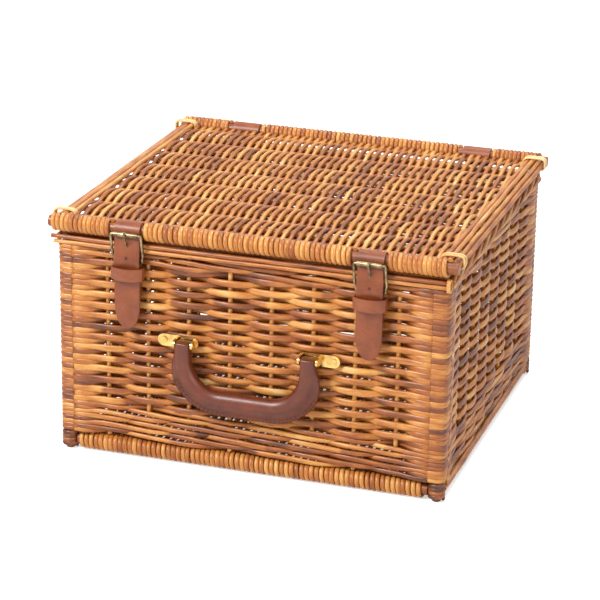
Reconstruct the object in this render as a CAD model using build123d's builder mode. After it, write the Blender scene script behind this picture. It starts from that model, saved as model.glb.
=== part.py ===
from build123d import *
import math
import os

# Picnic basket of woven willow with a hinged lid, two buckled straps and a carrying handle.
# Millimetres, +Z up. The front, with the straps and the handle, faces -Y.
# It is drawn about the middle of the four walls, and each finished piece is set back a little,
# so that the origin is on the ground under the middle of the whole basket.

os.makedirs("parts", exist_ok=True)

# Sizes of the body
body_w = 400.0            # over the turns of the corner posts, left to right
body_d = 372.0            # over the turns of the corner posts, front to back
soft_gap = 0.3            # between neighbouring rods and leather
run_gap = 0.05            # radial running fit of metal on metal

post_r = 4.5              # corner post
turn_t = 3.7              # weaver where it turns round a corner post
post_turn_r = post_r + soft_gap + turn_t
post_x = body_w / 2 - post_turn_r
post_y = body_d / 2 - post_turn_r

stake_r = 2.2             # upright stake of a wall
stakes_per_wall = 8
weaver_t = 3.8            # weaver, measured through the wall
wall_half = stake_r + soft_gap + weaver_t
front_pitch = 2 * post_x / (stakes_per_wall + 1)
side_pitch = 2 * post_y / (stakes_per_wall + 1)
weave_h = 197.35          # woven height of the front and back walls
foot_z = 0.6              # lowest turns round the posts
foot_chamfer = 0.8

# Sizes of the border
border_r = 2.3            # rods laid along the rim
border_out = 7.3          # outer rods, from the middle plane of the wall
border_in = stake_r + soft_gap + border_r
cap_r = 2.5               # rod that covers the tops of the stakes
rim_left, rim_right = -205.0, 201.0           # ends of the long rods at front and back
knot_t = 1.6              # thin binding at the front right corner of the rim
knot_w = 3.6

# Sizes of sticks and lid
stick_r = 5.75            # thick sticks of lid and base
wind_t = 3.2              # weaver wound round a thick stick
wind_in_r = stick_r + soft_gap
wind_r = wind_in_r + wind_t
stick_half = 207.2        # half length of the lid sticks
stick_chamfer = 0.6
lid_stick_y = 183.8
lid_wind_left = -205.8
lid_wind_right = 202.0
bundle_rod_r = 1.7        # thin cross rods, laid in threes
bundle_pitch = 3.7
bundle_rows = 7
bundle_half = 196.0
bundle_step = 2 * lid_stick_y / (bundle_rows + 1)
stroke_t = 4.0            # front-to-back weavers
stroke_pitch = 4.1
stroke_off = bundle_rod_r + soft_gap + stroke_t / 2
lid_strokes = 89
side_rod_r = 2.4
side_rod_x = (189.4, 194.5, 199.8, 204.3)
side_rod_dz = (4.4, 4.4, 2.0, -0.4)
tie_t = 2.2               # willow tie at each corner of the lid
tie_w = 2.6
tie_pitch = 2.9
tie_in_x0, tie_in_x1 = 186.5, 207.2
tie_in_z0, tie_in_z1 = -3.3, 7.3
tie_y0 = 165.0

# Sizes of the base
base_z = 9.8
base_stick_y = 176.0
base_wind_half = post_x - post_turn_r - soft_gap
base_bundle_step = 2 * base_stick_y / (bundle_rows + 1)
base_bundle_half = 193.4
base_strokes = 87
base_side_r = 2.3
base_side_x = (187.0, 192.0, 197.0)
base_under_x, base_under_dz = 196.6, -0.7     # lowest rod, beside the ends of the cross rods

# Levels that follow from base to lid
front_bottom_z = base_z + wind_r + 2.0
base_rod_z = base_z + bundle_rod_r + soft_gap + base_side_r
side_bottom_z = base_rod_z + base_side_r + 0.4
weave_top_z = front_bottom_z + weave_h
turns_top_z = weave_top_z - 2.4
border_low_z = weave_top_z + soft_gap + border_r
border_high_z = border_low_z + 2 * border_r + soft_gap
stake_top_z = border_high_z
cap_z = stake_top_z + soft_gap + cap_r
lid_z = cap_z + cap_r + 0.45 + wind_r

# Sizes of the straps
strap_x = 123.0
strap_w = 26.5
leather_t = 2.4
loop_gap = 0.35           # leather loop on a stick
strap_loop_r = stick_r + loop_gap + leather_t
strap_y = -(lid_stick_y + strap_loop_r)       # outer face of the hanging strap
strap_in_y = strap_y + leather_t              # its inner face
strap_seam_z = lid_z - 6.5                    # where the loop passes into the tail
strap_tip_z = 141.5
strap_tip_h = 24.0        # rounded end of the strap
strap_tip_mid = 12.0      # where the rounding is fullest
strap_tip_in = 2.6
strap_hole_r = 1.3
heel_y, heel_z = -187.8, 209.5                # bar that the buckle swings on
bar_r = 1.3
roller_r = 2.3
roller_y = strap_y - soft_gap - roller_r
roller_z = 239.0
frame_len = math.hypot(roller_y - heel_y, roller_z - heel_z)
frame_half = 15.7
frame_waist = 14.4
prong_r = 1.1
prong_eye_r = 3.0
prong_eye_w = 2.6
prong_line = ((heel_y, heel_z + 1.9), (heel_y, heel_z + 8.5), (-195.6, roller_z - 6.5),
              (-198.95, roller_z - 1.0), (-198.55, roller_z + 2.6))
prong_slot_z, prong_slot_h = heel_z + 14.4, 9.2    # slot in the strap where the prong passes
strap_hole_z = heel_z + 5.3
chape_w = 24.0
chape_loop_r = 3.6
chape_t = 4.4
wall_face = -(post_y + wall_half)             # outermost weave of the front wall
chape_back = wall_face - soft_gap
chape_front = chape_back - chape_t
chape_end_z = 174.0
keeper_z1 = heel_z - 4.8
keeper_z0 = keeper_z1 - 12.2
keeper_side_y = -193.5    # where the bulge starts
keeper_t = 2.0
keeper_strip_t = 1.5
keeper_half = 14.2
keeper_bulge = -197.5
strap_low_y = chape_front - 1.7               # inner face of the tail below the heel
strap_heel_y = heel_y - chape_loop_r - 0.4    # inner face over the heel

# Sizes of rivets and hinges
rivet_r = 1.6
rivet_head_r = 3.4
rivet_head_t = 1.2
rivet_tail_r = 5.0
rivet_hole_r = rivet_r + soft_gap
chape_rivet_z = 181.0
hinge_x = 130.5
hinge_w = 29.5
hinge_rivet_dx = 8.0
hinge_rivet_z = 200.0
hinge_end_z = 192.0
hinge_bend_z0, hinge_bend_z1 = 209.0, 216.5

# Sizes of the handle
pin_x = 64.0
pin_y, pin_z = -193.5, 132.5
pin_r = 2.0
pin_bore_r = 1.2
eye_r = 6.6
eye_w = 15.0
lug_t = 2.2
lug_r = 4.2
lug_gap = 0.6
plate_t = 1.6
plate_h = 12.4
plate_in_x, plate_out_x = 51.5, 93.5
plate_back = wall_face - soft_gap
plate_front = plate_back - plate_t
bracket_rivet_x = (68.2, 87.0)
grip_a = 9.5              # half thickness in the plane of the handle
grip_b = 8.2              # half thickness across it
grip_seam = 16.4          # stitched edge, from the middle of the grip
grip_seam_t = 3.4
grip_top_z = pin_z - 12.0
grip_low_z = 79.0
grip_bend = 38.0
core_r = 4.9
core_gap = 0.1

# The grip reaches furthest to the front and the winding of the lid furthest to the back
set_back = (grip_b - pin_y - lid_stick_y - wind_r) / 2


def keep(solid, name):
    """Set a finished piece over the origin, label it and write it out."""
    placed = Pos(0, set_back, 0) * solid
    placed.label = name
    export_step(placed, "parts/" + name + ".step")


def stake_places(pitch, post_at):
    """Where the stakes of a wall stand, as on the front wall."""
    first = -pitch * (stakes_per_wall - 1) / 2
    return [(first + i * pitch, -post_at) for i in range(stakes_per_wall)]


def wall_stakes(pitch, post_at, bottom_z):
    """The upright stakes of one wall."""
    with BuildPart() as stakes:
        with BuildSketch(Plane.XY.offset(bottom_z)):
            with Locations(*stake_places(pitch, post_at)):
                Circle(stake_r)
        extrude(amount=stake_top_z - bottom_z)
    return stakes.part


def wall_weave(pitch, post_at, half_len, bottom_z, holes):
    """Weave of one wall as a closed panel, made as the front wall and turned to its place."""
    with BuildPart() as wall:
        with BuildSketch(Plane.XY.offset(bottom_z)):
            with Locations((0, -post_at)):
                Rectangle(2 * half_len, 2 * wall_half)
            with Locations(*stake_places(pitch, post_at)):
                Circle(stake_r + soft_gap, mode=Mode.SUBTRACT)
        extrude(amount=weave_top_z - bottom_z)
        for x, z in holes:
            with Locations(Location((x, -post_at, z), (90, 0, 0))):
                Cylinder(rivet_hole_r, 4 * wall_half, mode=Mode.SUBTRACT)
    return wall.part


def winding(spans, y, z):
    """Weaver wound round a thick stick: one sleeve along every span."""
    with BuildPart() as turns:
        for x0, x1 in spans:
            with BuildSketch(Plane.YZ.offset(x0)):
                with Locations((y, z)):
                    Circle(wind_r)
                    Circle(wind_in_r, mode=Mode.SUBTRACT)
            extrude(amount=x1 - x0)
    return turns.part


def bundle_places(step, level):
    """Middle of every bundle of cross rods, front to back."""
    return [((k - (bundle_rows - 1) / 2) * step, level) for k in range(bundle_rows)]


def woven_panel(count, step, end_y, level):
    """Front-to-back weavers of the lid or the base as one slab round the cross rods."""
    with BuildPart() as panel:
        with BuildSketch(Plane.YZ.offset(-count * stroke_pitch / 2)):
            with Locations((0, level)):
                Rectangle(2 * end_y, 2 * stroke_off + stroke_t)
            with Locations(*bundle_places(step, level)):
                SlotOverall(2 * (bundle_pitch + bundle_rod_r + soft_gap), 2 * (bundle_rod_r + soft_gap),
                            mode=Mode.SUBTRACT)
        extrude(amount=count * stroke_pitch)
    return panel.part


def bundles(half_len, step, level):
    """Thin cross rods, three side by side in every row."""
    with BuildPart() as rods:
        with BuildSketch(Plane.YZ.offset(-half_len)):
            with Locations(*bundle_places(step, level)):
                with Locations(*[(j * bundle_pitch, 0) for j in (-1, 0, 1)]):
                    Circle(bundle_rod_r)
        extrude(amount=2 * half_len)
    return rods.part


# Body: uprights
post_places = [(sx * post_x, sy * post_y) for sx in (-1, 1) for sy in (-1, 1)]
with BuildPart() as corner_posts:
    with BuildSketch():
        with Locations(*post_places):
            Circle(post_r)
    extrude(amount=stake_top_z)
    chamfer(corner_posts.edges().group_by(Axis.Z)[0], foot_chamfer)
keep(corner_posts.part, "corner_posts")

# Turns of the weavers round the corner posts, foot to rim
with BuildPart() as corner_turns:
    with BuildSketch(Plane.XY.offset(foot_z)):
        with Locations(*post_places):
            Circle(post_turn_r)
            Circle(post_r + soft_gap, mode=Mode.SUBTRACT)
    extrude(amount=turns_top_z - foot_z)
keep(corner_turns.part, "corner_turns")

front_stakes = wall_stakes(front_pitch, post_y, front_bottom_z - 2 * soft_gap)
keep(front_stakes, "front_stakes")
keep(Rot(0, 0, 180) * front_stakes, "back_stakes")
side_stakes = wall_stakes(side_pitch, post_x, side_bottom_z)
keep(Rot(0, 0, 90) * side_stakes, "right_stakes")
keep(Rot(0, 0, -90) * side_stakes, "left_stakes")

# Body: woven walls
front_half = post_x - post_turn_r - soft_gap
side_half = post_y - post_turn_r - soft_gap
front_holes = [(sx * strap_x, chape_rivet_z) for sx in (-1, 1)]
front_holes += [(sx * x, pin_z) for sx in (-1, 1) for x in bracket_rivet_x]
hinge_places = [(sx * hinge_x + dx, hinge_rivet_z)
                for sx in (-1, 1) for dx in (-hinge_rivet_dx, hinge_rivet_dx)]
front_weave = wall_weave(front_pitch, post_y, front_half, front_bottom_z, front_holes)
keep(front_weave, "front_weave")
back_weave = wall_weave(front_pitch, post_y, front_half, front_bottom_z, hinge_places)
keep(Rot(0, 0, 180) * back_weave, "back_weave")
side_weave = wall_weave(side_pitch, post_x, side_half, side_bottom_z, [])
keep(Rot(0, 0, 90) * side_weave, "right_weave")
keep(Rot(0, 0, -90) * side_weave, "left_weave")

# Body: border of the rim
rim_mid = (rim_left + rim_right) / 2
rim_y = post_y + border_out
side_rim_half = rim_y - border_r - 3.0
with BuildPart() as border_rods:
    for sy in (-1, 1):
        for z in (border_low_z, border_high_z):
            with Locations(Location((rim_mid, sy * rim_y, z), (0, 90, 0))):
                Cylinder(border_r, rim_right - rim_left)
            with Locations(Location((0, sy * (post_y - border_in), z), (0, 90, 0))):
                Cylinder(border_r, 2 * (post_x - post_r - soft_gap - cap_r + 0.8))
        with Locations(Location((0, sy * post_y, cap_z), (0, 90, 0))):
            Cylinder(cap_r, 2 * (post_x + post_r))
    for sx in (-1, 1):
        for z in (border_low_z, border_high_z):
            with Locations(Location((sx * (post_x + border_out), 0, z), (90, 0, 0))):
                Cylinder(border_r, 2 * side_rim_half)
            with Locations(Location((sx * (post_x - border_in), 0, z), (90, 0, 0))):
                Cylinder(border_r, 2 * (post_y - border_in - border_r - soft_gap))
        with Locations(Location((sx * post_x, 0, cap_z), (90, 0, 0))):
            Cylinder(cap_r, 2 * (post_y - cap_r - soft_gap))
keep(border_rods.part, "border_rods")

# Thin binding that holds the ends of the rim rods at the front right corner
knot_y = -rim_y
knot_z = (border_low_z + border_high_z) / 2
knot_in_y = 2 * border_r + 2 * soft_gap
knot_in_z = border_high_z - border_low_z + 2 * border_r + 2 * soft_gap
with BuildPart() as border_knot:
    with BuildSketch(Plane.YZ.offset(post_x + post_r + 0.6)):
        with Locations((knot_y, knot_z)):
            RectangleRounded(knot_in_y + 2 * knot_t, knot_in_z + 2 * knot_t, border_r + knot_t)
            RectangleRounded(knot_in_y, knot_in_z, border_r, mode=Mode.SUBTRACT)
    extrude(amount=knot_w)
keep(border_knot.part, "border_knot")

# Base
with BuildPart() as base_sticks:
    for sy in (-1, 1):
        with Locations(Location((0, sy * base_stick_y, base_z), (0, 90, 0))):
            Cylinder(stick_r, 2 * base_wind_half)
keep(base_sticks.part, "base_sticks")
base_span = [(-base_wind_half, base_wind_half)]
keep(winding(base_span, -base_stick_y, base_z), "base_front_winding")
keep(winding(base_span, base_stick_y, base_z), "base_back_winding")
keep(bundles(base_bundle_half, base_bundle_step, base_z), "base_cross_rods")
base_end_y = base_stick_y - wind_r - soft_gap
keep(woven_panel(base_strokes, base_bundle_step, base_end_y, base_z), "base_weave")

# Long rods under each side wall, laid on the ends of the cross rods
base_rod_places = [(x, base_rod_z) for x in base_side_x]
base_rod_places += [(base_under_x, base_z + base_under_dz)]
with BuildPart() as base_side_rods:
    for sx in (-1, 1):
        for x, z in base_rod_places:
            with Locations(Location((sx * x, 0, z), (90, 0, 0))):
                Cylinder(base_side_r, 2 * (post_y - post_turn_r - soft_gap))
keep(base_side_rods.part, "base_side_rods")

# Lid
for label, sy in (("front", -1), ("back", 1)):
    with BuildPart() as lid_stick:
        with Locations(Location((0, sy * lid_stick_y, lid_z), (0, 90, 0))):
            Cylinder(stick_r, 2 * stick_half)
        chamfer(lid_stick.edges().filter_by(GeomType.CIRCLE), stick_chamfer)
    keep(lid_stick.part, "lid_" + label + "_stick")

strap_clear = strap_w / 2 + 0.45
front_spans = [(lid_wind_left, -strap_x - strap_clear), (-strap_x + strap_clear, strap_x - strap_clear),
               (strap_x + strap_clear, lid_wind_right)]
hinge_clear = hinge_w / 2 + 0.45
back_spans = [(lid_wind_left, -hinge_x - hinge_clear), (-hinge_x + hinge_clear, hinge_x - hinge_clear),
              (hinge_x + hinge_clear, lid_wind_right)]
keep(winding(front_spans, -lid_stick_y, lid_z), "lid_front_winding")
keep(winding(back_spans, lid_stick_y, lid_z), "lid_back_winding")
keep(bundles(bundle_half, bundle_step, lid_z), "lid_cross_rods")
lid_end_y = lid_stick_y - wind_r - soft_gap
keep(woven_panel(lid_strokes, bundle_step, lid_end_y, lid_z), "lid_weave")

# Long rods along the left and right edges of the lid
with BuildPart() as lid_side_rods:
    for sx in (-1, 1):
        for x, dz in zip(side_rod_x, side_rod_dz):
            with Locations(Location((sx * x, 0, lid_z + dz), (90, 0, 0))):
                Cylinder(side_rod_r, 2 * lid_end_y)
keep(lid_side_rods.part, "lid_side_rods")

# Willow ties round the side rods at the four corners, three strands each
tie_mid_x = (tie_in_x0 + tie_in_x1) / 2
tie_mid_z = lid_z + (tie_in_z0 + tie_in_z1) / 2
tie_len_x = tie_in_x1 - tie_in_x0
tie_len_z = tie_in_z1 - tie_in_z0
with BuildPart() as lid_corner_ties:
    for sy in (-1, 1):
        for n in range(3):
            y = sy * (tie_y0 + n * tie_pitch)
            with BuildSketch(Plane.XZ.offset(-y)):
                with Locations((tie_mid_x, tie_mid_z), (-tie_mid_x, tie_mid_z)):
                    RectangleRounded(tie_len_x + 2 * tie_t, tie_len_z + 2 * tie_t, 3.0 + tie_t)
                    RectangleRounded(tie_len_x, tie_len_z, 3.0, mode=Mode.SUBTRACT)
            extrude(amount=tie_w / 2, both=True)
keep(lid_corner_ties.part, "lid_corner_ties")

# Hinges
hinge_out = lid_stick_y + strap_loop_r
hinge_low = -wall_face + soft_gap
for label, sx in (("left", -1), ("right", 1)):
    with BuildPart() as hinge_loop:
        with BuildSketch(Plane.YZ):
            with Locations((lid_stick_y, lid_z)):
                Circle(strap_loop_r)
            with BuildLine():
                Polyline((hinge_out, lid_z), (hinge_out, hinge_bend_z1),
                         (hinge_low + leather_t, hinge_bend_z0),
                         (hinge_low + leather_t, hinge_end_z), (hinge_low, hinge_end_z),
                         (hinge_low, hinge_bend_z0 - 0.6), (hinge_out - leather_t, hinge_bend_z1 - 0.6),
                         (hinge_out - leather_t, lid_z), (hinge_out, lid_z))
            make_face()
            with Locations((lid_stick_y, lid_z)):
                Circle(stick_r + loop_gap, mode=Mode.SUBTRACT)
        extrude(amount=hinge_w / 2, both=True)
        with Locations(*[Location((dx, hinge_low, hinge_rivet_z), (90, 0, 0))
                         for dx in (-hinge_rivet_dx, hinge_rivet_dx)]):
            Cylinder(rivet_r + run_gap, 4 * leather_t, mode=Mode.SUBTRACT)
    keep(Pos(sx * hinge_x, 0, 0) * hinge_loop.part, "hinge_loop_" + label)


def rivets(places, seat, inner, head_t):
    """Rivets through a front wall: head on the outer seat, wide tail on the weave inside."""
    with BuildPart() as batch:
        for x, z in places:
            for r, y0, y1 in ((rivet_head_r, seat - head_t, seat), (rivet_r, seat - 0.1, inner + 0.1),
                              (rivet_tail_r, inner, inner + rivet_head_t)):
                with Locations(Location((x, (y0 + y1) / 2, z), (90, 0, 0))):
                    Cylinder(r, abs(y1 - y0))
    return batch.part


wall_inner = -(post_y - wall_half) + soft_gap
hinge_rivets = rivets(hinge_places, -(hinge_low + leather_t), wall_inner, rivet_head_t)
keep(Rot(0, 0, 180) * hinge_rivets, "hinge_rivets")

# Strap buckles
# Leather chape: folded round the heel bar, with a slot for the prong's eye and one for the keeper
for label, sx in (("left", -1), ("right", 1)):
    with BuildPart() as chape:
        with BuildSketch(Plane.YZ):
            with Locations((heel_y, heel_z)):
                Circle(chape_loop_r)
            with BuildLine():
                Polyline((chape_back, heel_z), (chape_back, chape_end_z), (chape_front, chape_end_z),
                         (chape_front, heel_z - 6.0), (heel_y - chape_loop_r, heel_z - 1.5),
                         (heel_y - chape_loop_r, heel_z), (chape_back, heel_z))
            make_face()
            with Locations((heel_y, heel_z)):
                Circle(bar_r + soft_gap, mode=Mode.SUBTRACT)
        extrude(amount=chape_w / 2, both=True)
        with Locations((0, heel_y, heel_z + 3.0)):
            Box(prong_eye_w + 1.0, 4 * chape_loop_r, 15.0, mode=Mode.SUBTRACT)
        with Locations((0, chape_back - 2.15, (keeper_z0 + keeper_z1) / 2)):
            Box(2 * chape_w, keeper_strip_t + 0.2, keeper_z1 - keeper_z0 + 0.4, mode=Mode.SUBTRACT)
        with Locations(Location((0, chape_back, chape_rivet_z), (90, 0, 0))):
            Cylinder(rivet_r + run_gap, 4 * chape_t, mode=Mode.SUBTRACT)
    keep(Pos(sx * strap_x, 0, 0) * chape.part, "chape_" + label)

    # Keeper: leather ring through the chape, bulging over the strap
    strip_back = chape_back - 2.15 + keeper_strip_t / 2
    strip_front = strip_back - keeper_strip_t
    with BuildPart() as keeper:
        with BuildSketch(Plane.XY.offset(keeper_z0)):
            with BuildLine():
                Polyline((-keeper_half - keeper_t, keeper_side_y), (-keeper_half - keeper_t, strip_back),
                         (keeper_half + keeper_t, strip_back), (keeper_half + keeper_t, keeper_side_y))
                ThreePointArc((keeper_half + keeper_t, keeper_side_y), (0, keeper_bulge - keeper_t),
                              (-keeper_half - keeper_t, keeper_side_y))
            make_face()
            with BuildLine():
                Polyline((-keeper_half, keeper_side_y + 0.5), (-keeper_half, strip_front),
                         (keeper_half, strip_front), (keeper_half, keeper_side_y + 0.5))
                ThreePointArc((keeper_half, keeper_side_y + 0.5), (0, keeper_bulge),
                              (-keeper_half, keeper_side_y + 0.5))
            make_face(mode=Mode.SUBTRACT)
        extrude(amount=keeper_z1 - keeper_z0)
    keep(Pos(sx * strap_x, 0, 0) * keeper.part, "keeper_" + label)

    # Buckle frame: one bent wire, waisted beside the heel bar
    across = Plane(origin=(0, heel_y, heel_z), x_dir=(1, 0, 0),
                   z_dir=(0, -(roller_z - heel_z) / frame_len, (roller_y - heel_y) / frame_len))
    with BuildPart() as frame:
        with BuildLine(across) as wire:
            FilletPolyline((frame_waist, 0), (frame_waist, 4.0), (frame_half, 8.5), (frame_half, frame_len),
                           (-frame_half, frame_len), (-frame_half, 8.5), (-frame_waist, 4.0),
                           (-frame_waist, 0), radius=1.6, close=True)
        with BuildSketch(Plane(origin=wire.line @ 0, z_dir=wire.line % 0)):
            Circle(bar_r)
        sweep()
    keep(Pos(sx * strap_x, 0, 0) * frame.part, "buckle_frame_" + label)

    with BuildPart() as roller:
        with Locations(Location((0, roller_y, roller_z), (0, 90, 0))):
            Cylinder(roller_r, 2 * (frame_half - bar_r - 1.9))
            Cylinder(bar_r + run_gap, 4 * frame_half, mode=Mode.SUBTRACT)
    keep(Pos(sx * strap_x, 0, 0) * roller.part, "buckle_roller_" + label)

    # Prong: an eye on the heel bar, a shank through the strap, a tip on the roller
    with BuildPart() as prong:
        with BuildLine(Plane.YZ) as shank:
            FilletPolyline(*prong_line, radius=1.5)
        with BuildSketch(Plane(origin=shank.line @ 0, z_dir=shank.line % 0)):
            Circle(prong_r)
        sweep()
        with Locations(Location((0, heel_y, heel_z), (0, 90, 0))):
            Cylinder(prong_eye_r, prong_eye_w)
            Cylinder(bar_r + run_gap, 4 * prong_eye_w, mode=Mode.SUBTRACT)
    keep(Pos(sx * strap_x, 0, 0) * prong.part, "prong_" + label)

    # Strap: a loop on the front stick, and the tail that the buckle holds
    with BuildPart() as strap_loop:
        with BuildSketch(Plane.YZ):
            with Locations((-lid_stick_y, lid_z)):
                Circle(strap_loop_r)
            with Locations(((strap_y + strap_in_y) / 2, (lid_z + strap_seam_z) / 2)):
                Rectangle(leather_t, lid_z - strap_seam_z)
            with Locations((-lid_stick_y, lid_z)):
                Circle(stick_r + loop_gap, mode=Mode.SUBTRACT)
        extrude(amount=strap_w / 2, both=True)
    keep(Pos(sx * strap_x, 0, 0) * strap_loop.part, "strap_loop_" + label)

    inner = [(strap_in_y, strap_seam_z - 0.05), (strap_in_y, heel_z + 11.0), (strap_heel_y, heel_z + 4.0),
             (strap_heel_y, heel_z - 2.5), (strap_low_y, keeper_z1), (strap_low_y, strap_tip_z)]
    outer = [(y - leather_t, z) for y, z in reversed(inner)]
    with BuildPart() as strap_tail:
        with BuildSketch(Plane.YZ):
            with BuildLine():
                Polyline(*inner, *outer, inner[0])
            make_face()
        extrude(amount=strap_w / 2, both=True)
        with BuildSketch(Plane.XZ):
            with Locations((0, (strap_tip_z + strap_tip_h + lid_z) / 2)):
                Rectangle(strap_w, lid_z - strap_tip_z - strap_tip_h)
            with BuildLine():
                Line((-strap_w / 2, strap_tip_z + strap_tip_h), (strap_w / 2, strap_tip_z + strap_tip_h))
                Spline((strap_w / 2, strap_tip_z + strap_tip_h),
                       (strap_w / 2 - strap_tip_in, strap_tip_z + strap_tip_mid), (0, strap_tip_z),
                       (-strap_w / 2 + strap_tip_in, strap_tip_z + strap_tip_mid),
                       (-strap_w / 2, strap_tip_z + strap_tip_h), tangents=[(0, -1), (0, 1)])
            make_face()
        extrude(amount=2 * body_d, mode=Mode.INTERSECT)
        with Locations((0, strap_y, prong_slot_z)):
            Box(2 * prong_r + 1.0, 12 * leather_t, prong_slot_h, mode=Mode.SUBTRACT)
        with Locations(Location((0, strap_y, strap_hole_z), (90, 0, 0))):
            Cylinder(strap_hole_r, 12 * leather_t, mode=Mode.SUBTRACT)
    keep(Pos(sx * strap_x, 0, 0) * strap_tail.part, "strap_tail_" + label)

chape_places = [(sx * strap_x, chape_rivet_z) for sx in (-1, 1)]
keep(rivets(chape_places, chape_front, wall_inner, rivet_head_t), "chape_rivets")

# Handle
lug_in = pin_x - eye_w / 2 - lug_gap - lug_t
lug_out = pin_x + eye_w / 2 + lug_gap
for label, sx in (("left", -1), ("right", 1)):
    with BuildPart() as bracket:
        with BuildSketch(Plane.XZ.offset(-plate_back)):
            with Locations((sx * (plate_in_x + plate_out_x) / 2, pin_z)):
                SlotOverall(plate_out_x - plate_in_x, plate_h)
        extrude(amount=plate_t)
        for x0 in (lug_in, lug_out):
            x_mid = sx * (x0 + lug_t / 2)
            with Locations(Location((x_mid, pin_y, pin_z), (0, 90, 0))):
                Cylinder(lug_r, lug_t)
            with Locations((x_mid, (pin_y + plate_back - 0.2) / 2, pin_z)):
                Box(lug_t, abs(pin_y - plate_back) - 0.2, 2 * lug_r)
        with Locations(Location((0, pin_y, pin_z), (0, 90, 0))):
            Cylinder(pin_r, 4 * plate_out_x, mode=Mode.SUBTRACT)
        for x in bracket_rivet_x:
            with Locations(Location((sx * x, plate_back, pin_z), (90, 0, 0))):
                Cylinder(rivet_r, 4 * plate_t, mode=Mode.SUBTRACT)
    keep(bracket.part, "handle_bracket_" + label)

# Pins with hollow ends, fast in the lugs
pin_len = eye_w + 2 * lug_gap + 2 * lug_t + 1.6
with BuildPart() as handle_pins:
    for sx in (-1, 1):
        with Locations(Location((sx * pin_x, pin_y, pin_z), (0, 90, 0))):
            Cylinder(pin_r, pin_len)
        for end in (-1, 1):
            with Locations(Location((sx * pin_x + end * (pin_len / 2 - 1.0), pin_y, pin_z), (0, 90, 0))):
                Cylinder(pin_bore_r, 2.2, mode=Mode.SUBTRACT)
keep(handle_pins.part, "handle_pins")

flush = [(sx * bracket_rivet_x[0], pin_z) for sx in (-1, 1)]
domed = [(sx * bracket_rivet_x[1], pin_z) for sx in (-1, 1)]
with BuildPart() as bracket_rivets:
    add(rivets(flush, plate_front, wall_inner, 0.6))
    add(rivets(domed, plate_front, wall_inner, rivet_head_t))
keep(bracket_rivets.part, "bracket_rivets")

grip_plane = Plane(origin=(0, pin_y, 0), x_dir=(1, 0, 0), z_dir=(0, -1, 0))
grip_points = ((-pin_x, grip_top_z), (-pin_x, grip_low_z), (pin_x, grip_low_z), (pin_x, grip_top_z))
with BuildPart() as core_space:
    with BuildLine(grip_plane) as core_line:
        FilletPolyline(*grip_points, radius=grip_bend)
    with BuildSketch(Plane(origin=core_line.line @ 0, x_dir=(1, 0, 0), z_dir=core_line.line % 0)):
        Circle(core_r + core_gap)
    sweep()
with BuildPart() as handle_cover:
    with BuildLine(grip_plane) as grip_line:
        FilletPolyline(*grip_points, radius=grip_bend)
    with BuildSketch(Plane(origin=grip_line.line @ 0, x_dir=(1, 0, 0), z_dir=grip_line.line % 0)):
        Ellipse(grip_a, grip_b)
        with Locations((-(grip_seam + grip_a / 2) / 2, 0)):
            Rectangle(grip_seam - grip_a / 2, grip_seam_t)
    sweep()
    for sx in (-1, 1):
        with Locations((sx * pin_x, pin_y, (grip_top_z + pin_z) / 2 - 1.0)):
            Box(eye_w, 2 * eye_r, pin_z - grip_top_z + 2.0)
        with Locations(Location((sx * pin_x, pin_y, pin_z), (0, 90, 0))):
            Cylinder(eye_r, eye_w)
    with Locations(Location((0, pin_y, pin_z), (0, 90, 0))):
        Cylinder(pin_r + run_gap, 4 * pin_x, mode=Mode.SUBTRACT)
    add(core_space.part, mode=Mode.SUBTRACT)
keep(handle_cover.part, "handle_cover")

with BuildPart() as handle_core:
    with BuildLine(grip_plane) as rope_line:
        FilletPolyline(*grip_points, radius=grip_bend)
    with BuildSketch(Plane(origin=rope_line.line @ 0, x_dir=(1, 0, 0), z_dir=rope_line.line % 0)):
        Circle(core_r)
    sweep()
keep(handle_core.part, "handle_core")
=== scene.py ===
"""Picnic basket of varnished willow: rods, weave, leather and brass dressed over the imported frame."""
import logging
import math
from dataclasses import dataclass
from enum import Enum

import bpy
import numpy as np
from mathutils import Matrix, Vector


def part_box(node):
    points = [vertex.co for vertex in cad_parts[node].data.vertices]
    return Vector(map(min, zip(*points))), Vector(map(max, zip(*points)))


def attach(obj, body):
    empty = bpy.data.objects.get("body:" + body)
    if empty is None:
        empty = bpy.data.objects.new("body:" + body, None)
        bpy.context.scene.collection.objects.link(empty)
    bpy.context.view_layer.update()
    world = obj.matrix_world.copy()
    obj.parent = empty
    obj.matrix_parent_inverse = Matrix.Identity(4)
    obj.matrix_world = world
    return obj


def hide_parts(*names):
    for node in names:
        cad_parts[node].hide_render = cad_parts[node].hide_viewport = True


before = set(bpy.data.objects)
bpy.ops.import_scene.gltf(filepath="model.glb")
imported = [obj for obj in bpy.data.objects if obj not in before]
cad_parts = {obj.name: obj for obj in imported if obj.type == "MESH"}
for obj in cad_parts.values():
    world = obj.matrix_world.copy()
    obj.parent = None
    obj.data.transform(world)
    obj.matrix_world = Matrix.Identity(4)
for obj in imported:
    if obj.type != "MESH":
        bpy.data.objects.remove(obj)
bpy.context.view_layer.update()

MM = 0.001
LOG = logging.getLogger("basket")
Array = np.ndarray
Node = bpy.types.ShaderNode
Tree = bpy.types.ShaderNodeTree


class Side(Enum):
    """The four walls, each with its direction along the wall and its outward direction."""

    FRONT = ((1, 0, 0), (0, -1, 0))
    RIGHT = ((0, 1, 0), (1, 0, 0))
    BACK = ((-1, 0, 0), (0, 1, 0))
    LEFT = ((0, -1, 0), (-1, 0, 0))


class Weave(Enum):
    """How a row passes the stakes: in front of every other one, or in front of two out of three."""

    RAND = 2
    WALE = 3


def box_mm(node: str) -> tuple[Array, Array]:
    """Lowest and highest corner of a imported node, in millimetres.

    Args:
        node: name of the node.

    Returns:
        The two corners.
    """
    low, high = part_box(node)
    return np.array(low) / MM, np.array(high) / MM


def middle_mm(node: str) -> Array:
    """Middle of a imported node's box, in millimetres."""
    low, high = box_mm(node)
    return (low + high) / 2


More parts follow.
